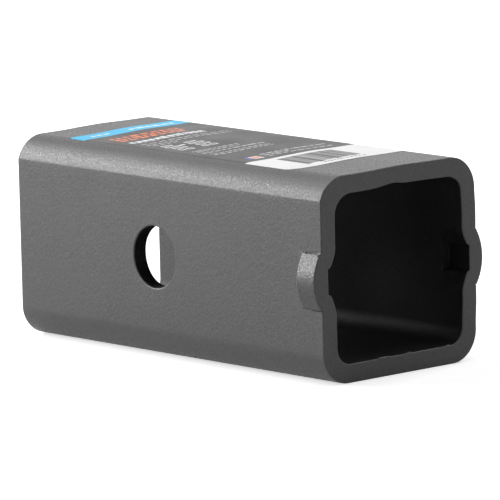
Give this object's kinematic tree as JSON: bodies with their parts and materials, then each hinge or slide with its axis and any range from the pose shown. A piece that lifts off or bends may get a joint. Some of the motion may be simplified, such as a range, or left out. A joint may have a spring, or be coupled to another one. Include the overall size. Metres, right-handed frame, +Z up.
{
  "type": "hitch reducer sleeve",
  "caption": "Square steel sleeve that lets a smaller drawbar fit a larger hitch receiver, with stop bumps at its front end, a pin hole and a label on top.",
  "frame": {"origin": "on the surface that the sleeve stands on, under the middle of the tube", "axes": "+Z up through the labelled top face, Y along the tube with the end that has the stop bumps facing -Y, X across it"},
  "size_m": [0.0702, 0.1396, 0.064],
  "materials": {
    "powder_coat": "satin",
    "label": "satin"
  },
  "bodies": {
    "root": {"sleeve_tube": "powder_coat", "top_label": "label"}
  },
  "joints": []
}
